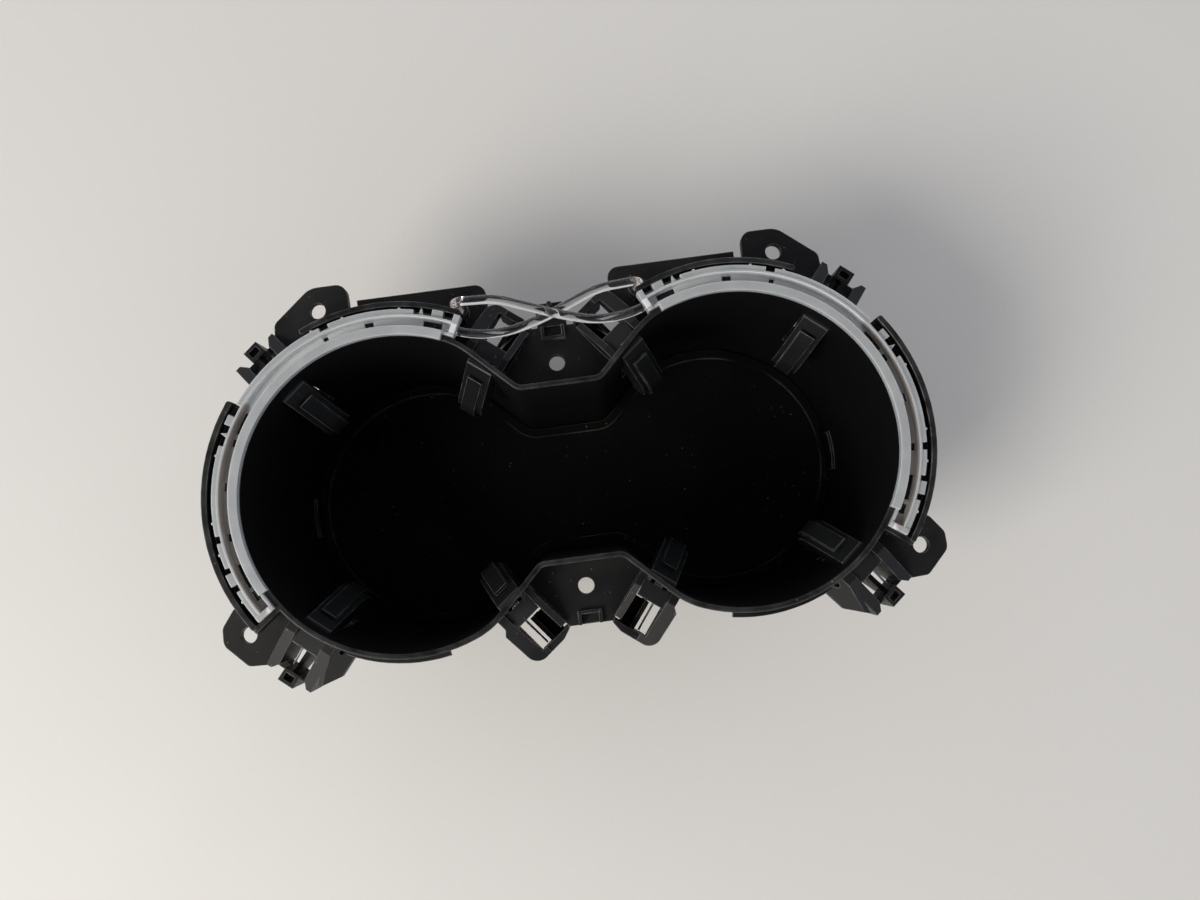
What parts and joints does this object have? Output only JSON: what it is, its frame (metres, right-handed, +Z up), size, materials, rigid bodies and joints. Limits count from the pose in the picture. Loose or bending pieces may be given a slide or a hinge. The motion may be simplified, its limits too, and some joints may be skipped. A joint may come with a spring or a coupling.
{
  "type": "car cup holder",
  "caption": "Car console cup holder pot with round cups joined at an open waist, sprung grip fingers, milky ring carriers, clear light pipes, a floor mat and screw ears.",
  "frame": {"origin": "on the underside of the base, midway between the cups", "axes": "+X along the pair of cups, +Y to the rear where the light pipes cross, +Z up out of the cups"},
  "size_m": [0.1926, 0.107, 0.076],
  "materials": {
    "black_plastic": "fine grained satin",
    "finger_plastic": "satin",
    "mat_rubber": "matt and dusty",
    "milky_plastic": "milky satin",
    "clear_acrylic": "clear polished",
    "spring_steel": "drawn wire"
  },
  "bodies": {
    "pot": {"pot": "black_plastic", "floor_mat": "mat_rubber", "left_ring_carrier": "milky_plastic", "right_ring_carrier": "milky_plastic", "left_light_pipe": "clear_acrylic", "right_light_pipe": "clear_acrylic"},
    "left_rear_outer_finger": {"left_rear_outer_finger": "finger_plastic", "left_rear_outer_spring": "spring_steel"},
    "left_rear_inner_finger": {"left_rear_inner_finger": "finger_plastic", "left_rear_inner_spring": "spring_steel"},
    "left_front_inner_finger": {"left_front_inner_finger": "finger_plastic", "left_front_inner_spring": "spring_steel"},
    "left_front_outer_finger": {"left_front_outer_finger": "finger_plastic", "left_front_outer_spring": "spring_steel"},
    "right_rear_outer_finger": {"right_rear_outer_finger": "finger_plastic", "right_rear_outer_spring": "spring_steel"},
    "right_rear_inner_finger": {"right_rear_inner_finger": "finger_plastic", "right_rear_inner_spring": "spring_steel"},
    "right_front_inner_finger": {"right_front_inner_finger": "finger_plastic", "right_front_inner_spring": "spring_steel"},
    "right_front_outer_finger": {"right_front_outer_finger": "finger_plastic", "right_front_outer_spring": "spring_steel"}
  },
  "joints": [
    {"name": "left_rear_outer_hinge", "type": "hinge", "parent": "pot", "child": "left_rear_outer_finger", "pos_m": [-0.07133, 0.03281, 0.064], "axis": [0.7683, 0.6401, 0], "range_deg": [0, 33], "stiffness_Nm_per_rad": 0.05, "deforming": ["left_rear_outer_spring"]},
    {"name": "left_rear_inner_hinge", "type": "hinge", "parent": "pot", "child": "left_rear_inner_finger", "pos_m": [-0.01857, 0.03255, 0.064], "axis": [0.788, -0.6157, 0], "range_deg": [0, 33], "stiffness_Nm_per_rad": 0.05, "deforming": ["left_rear_inner_spring"]},
    {"name": "left_front_inner_hinge", "type": "hinge", "parent": "pot", "child": "left_front_inner_finger", "pos_m": [-0.01857, -0.03255, 0.064], "axis": [-0.788, -0.6157, 0], "range_deg": [0, 33], "stiffness_Nm_per_rad": 0.05, "deforming": ["left_front_inner_spring"]},
    {"name": "left_front_outer_hinge", "type": "hinge", "parent": "pot", "child": "left_front_outer_finger", "pos_m": [-0.07133, -0.03281, 0.064], "axis": [-0.7683, 0.6401, 0], "range_deg": [0, 33], "stiffness_Nm_per_rad": 0.05, "deforming": ["left_front_outer_spring"]},
    {"name": "right_rear_outer_hinge", "type": "hinge", "parent": "pot", "child": "right_rear_outer_finger", "pos_m": [0.07133, 0.03281, 0.064], "axis": [0.7683, -0.6401, 0], "range_deg": [0, 33], "stiffness_Nm_per_rad": 0.05, "deforming": ["right_rear_outer_spring"]},
    {"name": "right_rear_inner_hinge", "type": "hinge", "parent": "pot", "child": "right_rear_inner_finger", "pos_m": [0.01857, 0.03255, 0.064], "axis": [0.788, 0.6157, 0], "range_deg": [0, 33], "stiffness_Nm_per_rad": 0.05, "deforming": ["right_rear_inner_spring"]},
    {"name": "right_front_inner_hinge", "type": "hinge", "parent": "pot", "child": "right_front_inner_finger", "pos_m": [0.01857, -0.03255, 0.064], "axis": [-0.788, 0.6157, 0], "range_deg": [0, 33], "stiffness_Nm_per_rad": 0.05, "deforming": ["right_front_inner_spring"]},
    {"name": "right_front_outer_hinge", "type": "hinge", "parent": "pot", "child": "right_front_outer_finger", "pos_m": [0.07133, -0.03281, 0.064], "axis": [-0.7683, -0.6401, 0], "range_deg": [0, 33], "stiffness_Nm_per_rad": 0.05, "deforming": ["right_front_outer_spring"]}
  ]
}
